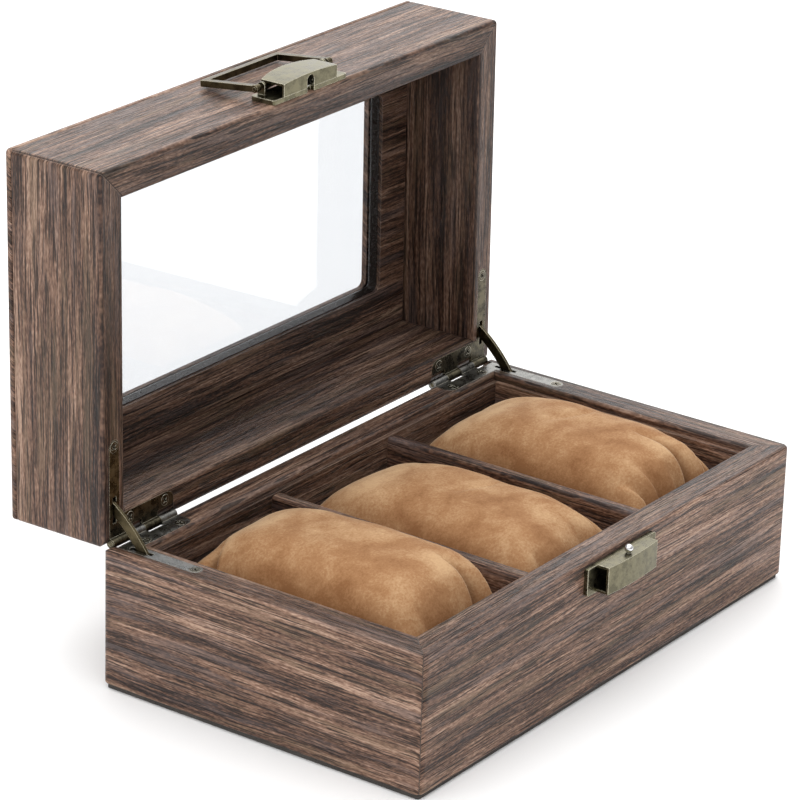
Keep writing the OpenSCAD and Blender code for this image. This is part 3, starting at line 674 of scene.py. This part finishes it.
# Per cushion: its crown's height and its folds. A fold has its deep end and its faint end in plan
# from the cushion's middle, how far its lowered side reaches, on the run's left where that is
# negative, and its depth, all in millimetres.
CUSHIONS = {
    "left": (53.6, (
        ((-28, 31), (-6, 39), -8, 5.5),
        ((10, -47), (8, -26), 6, 5.5),
        ((22, -46), (18, -27), 4, 4.5),
        ((-12, -46), (-16, -35), 3, 1.2),
    )),
    "middle": (48.2, (
        ((19, -46), (13, -19), 6, 4.0),
        ((9, -46), (6, -34), 4, 1.8),
        ((9, -3), (-6, 3), 3, 0.9),
        ((-17, -46), (-15, -35), 3, 1.2),
    )),
    "right": (52.0, (
        ((6, -47), (5, -18), 7, 6.0),
        ((19, -46), (14, -20), 5, 5.0),
        ((-7, -46), (-13, -30), 3, 1.8),
        ((-14, -46), (-21, -29), 3, 2.6),
        ((3, -46), (-2, -34), 3, 1.4),
        ((9, 1), (-8, 8), 2, 0.9),
    )),
}
# Where the first cushion's lumps start in the noise, and the step to the next one's
FIRST_LUMPS, NEXT_LUMPS = 11, 7


def fold_depth(x, y, fold):
    """How deep a fold lies at a place in plan, all in millimetres."""
    (x0, y0), (x1, y1), reach, depth = fold
    run = Vector((x1 - x0, y1 - y0))
    at = Vector((x - x0, y - y0))
    share = min(max(at.dot(run) / run.length_squared, 0.0), 1.0)
    off = (at - run * share).length
    lowered = (at.x * run.y - at.y * run.x) * reach > 0
    if lowered:
        shape = FOLD_SLUMP / (1.0 + (off / reach) ** 2)
        shape += FOLD_DIP * math.exp(-(off / FOLD_CREASE) ** 2)
    else:
        shape = (FOLD_SLUMP + FOLD_DIP) * math.exp(-(off / FOLD_LIP) ** 2)
    return depth * min(1.0, FOLD_FADE * (1.0 - share)) * shape


def pillow_point(u, v, rise, fall):
    """A place on the pillow's upper sheet and the one below it, for u and v from -1 to 1."""
    end = FRONT_FULLNESS if v < 0 else BACK_FULLNESS
    full = (1 - abs(u) ** SIDE_FULLNESS) * (1 - abs(v) ** end)
    length = PILLOW_FRONT if v < 0 else PILLOW_BACK
    x = u * PILLOW_HALF_W
    y = v * (length - END_PULL * (1 - u * u) * abs(v))
    upper = Vector((x, y, rise * full ** DOME_POWER))
    lower = Vector((x, y, -fall * min(1.0, BELLY_GAIN * full ** BELLY_POWER)))
    return upper, lower


def pillow_sheets(rise, fall):
    """Two sheets, dense towards their edges, that share the seam's vertices."""
    bm = bmesh.new()
    upper, lower = {}, {}
    for i in range(ACROSS + 1):
        for j in range(DOWN + 1):
            u = math.sin(math.pi * (i / ACROSS - 0.5))
            v = math.sin(math.pi * (j / DOWN - 0.5))
            above, below = pillow_point(u, v, rise, fall)
            seam = i in (0, ACROSS) or j in (0, DOWN)
            upper[i, j] = bm.verts.new(above)
            lower[i, j] = upper[i, j] if seam else bm.verts.new(below)
    for i in range(ACROSS):
        for j in range(DOWN):
            corners = ((i, j), (i + 1, j), (i + 1, j + 1), (i, j + 1))
            bm.faces.new([upper[corner] for corner in corners])
            bm.faces.new([lower[corner] for corner in reversed(corners)])
    bm.normal_update()
    return bm


def pillow(name, centre, crown, folds, seed):
    """A stuffed pillow of two sheets that meet in a seam round its corners and pulled-in ends."""
    rise = crown * MM - PILLOW_SEAM
    bm = pillow_sheets(rise, PILLOW_SEAM - PILLOW_FOOT)
    crease = bm.verts.layers.float.new("crease")   # for velvet()'s painted crease shade, in millimetres
    broad_scale, broad_height = BROAD_LUMPS
    small_scale, small_height = SMALL_LUMPS
    for vertex in bm.verts:
        place, normal = vertex.co.copy(), vertex.normal
        above = min(max(place.z / rise + FOLDS_END_BELOW, 0.0), 1.0)
        dent = sum(fold_depth(place.x / MM, place.y / MM, fold) for fold in folds) * above
        vertex[crease] = dent
        lump = noise.noise(place * broad_scale + X * seed) * broad_height
        lump += noise.noise(place * small_scale + Y * seed) * small_height
        inward = (normal + Z * FOLD_DOWNWARD).normalized() if normal.z > 0 else normal
        place += (normal * min(lump, LUMP_LIMIT) - inward * dent) * MM
        place.x = min(max(place.x, -ROOM_HALF_W), ROOM_HALF_W)
        vertex.co = place
    mesh = bpy.data.meshes.new(name)
    bm.to_mesh(mesh)
    bm.free()
    mesh.shade_smooth()
    piece = bpy.data.objects.new(name, mesh)
    piece.location = centre
    bpy.context.scene.collection.objects.link(piece)
    return piece


def make_cushions(material):
    for i, (side, (crown, folds)) in enumerate(CUSHIONS.items()):
        node = f"{side}_cushion"
        low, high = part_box(node)
        centre = Vector(((low.x + high.x) / 2, (low.y + high.y) / 2, PILLOW_SEAM))
        seed = FIRST_LUMPS + NEXT_LUMPS * i
        piece = pillow(f"{side}_velvet_cushion", centre, crown, folds, seed)
        piece.data.materials.append(material)
        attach(piece, node)
        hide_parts(node)


# ---- Stage ----

FLOOR_HALF = 6.0
FLOOR_BELOW = 0.2 * MM                    # under the base, so that the two faces don't flicker
FLOOR_WHITES = ((0.97, 0.97, 0.97), (0.99, 0.99, 0.99))
FLOOR_ROUGHNESS = 0.9
DUST_SCALE = 30

# The studio's soft white light: an even part, and glows as (towards, strength, tightness)
WHITE = (1.0, 1.0, 1.0)
SKY_AMBIENT = 0.17
SKY_GLOWS = (
    ((0, 0, 1), 1.90, 2.0),
    ((-0.98, 0.10, 0.20), 0.60, 1.0),
    ((0.78, 0.55, 0.35), 1.70, 3.5),
)


def make_floor():
    mesh = bpy.data.meshes.new("floor")
    half = FLOOR_HALF
    corners = [(-half, -half, 0), (half, -half, 0), (half, half, 0), (-half, half, 0)]
    mesh.from_pydata(corners, [], [(0, 1, 2, 3)])
    floor = bpy.data.objects.new("floor", mesh)
    floor.location.z = -FLOOR_BELOW
    n = Surface("pale_floor")
    dust = n.noise(n.place(), DUST_SCALE)
    n.set(Base_Color=n.mix(dust, *FLOOR_WHITES), Roughness=FLOOR_ROUGHNESS)
    mesh.materials.append(n.material)
    bpy.context.scene.collection.objects.link(floor)


def make_light():
    world = bpy.data.worlds.new("studio")
    world.use_nodes = True
    w = Nodes(world.node_tree)
    sky = w.add("ShaderNodeTexCoord").outputs["Generated"]
    light = SKY_AMBIENT
    for toward, strength, tightness in SKY_GLOWS:
        facing = w.math("MAXIMUM", w.dot(sky, Vector(toward).normalized()), 0.0)
        light = w.math("MULTIPLY_ADD", w.math("POWER", facing, tightness), strength, light)
    background = w.add("ShaderNodeBackground")
    w.put(background.inputs["Strength"], light)
    w.put(background.inputs["Color"], WHITE)
    out = w.add("ShaderNodeOutputWorld")
    w.tree.links.new(background.outputs[0], out.inputs["Surface"])

    scene = bpy.context.scene
    scene.world = world
    scene.view_settings.view_transform = "Standard"
    scene.view_settings.look = "None"


make_camera()
dress_boards()
dress_metals()
make_cushions(velvet())
make_floor()
make_light()
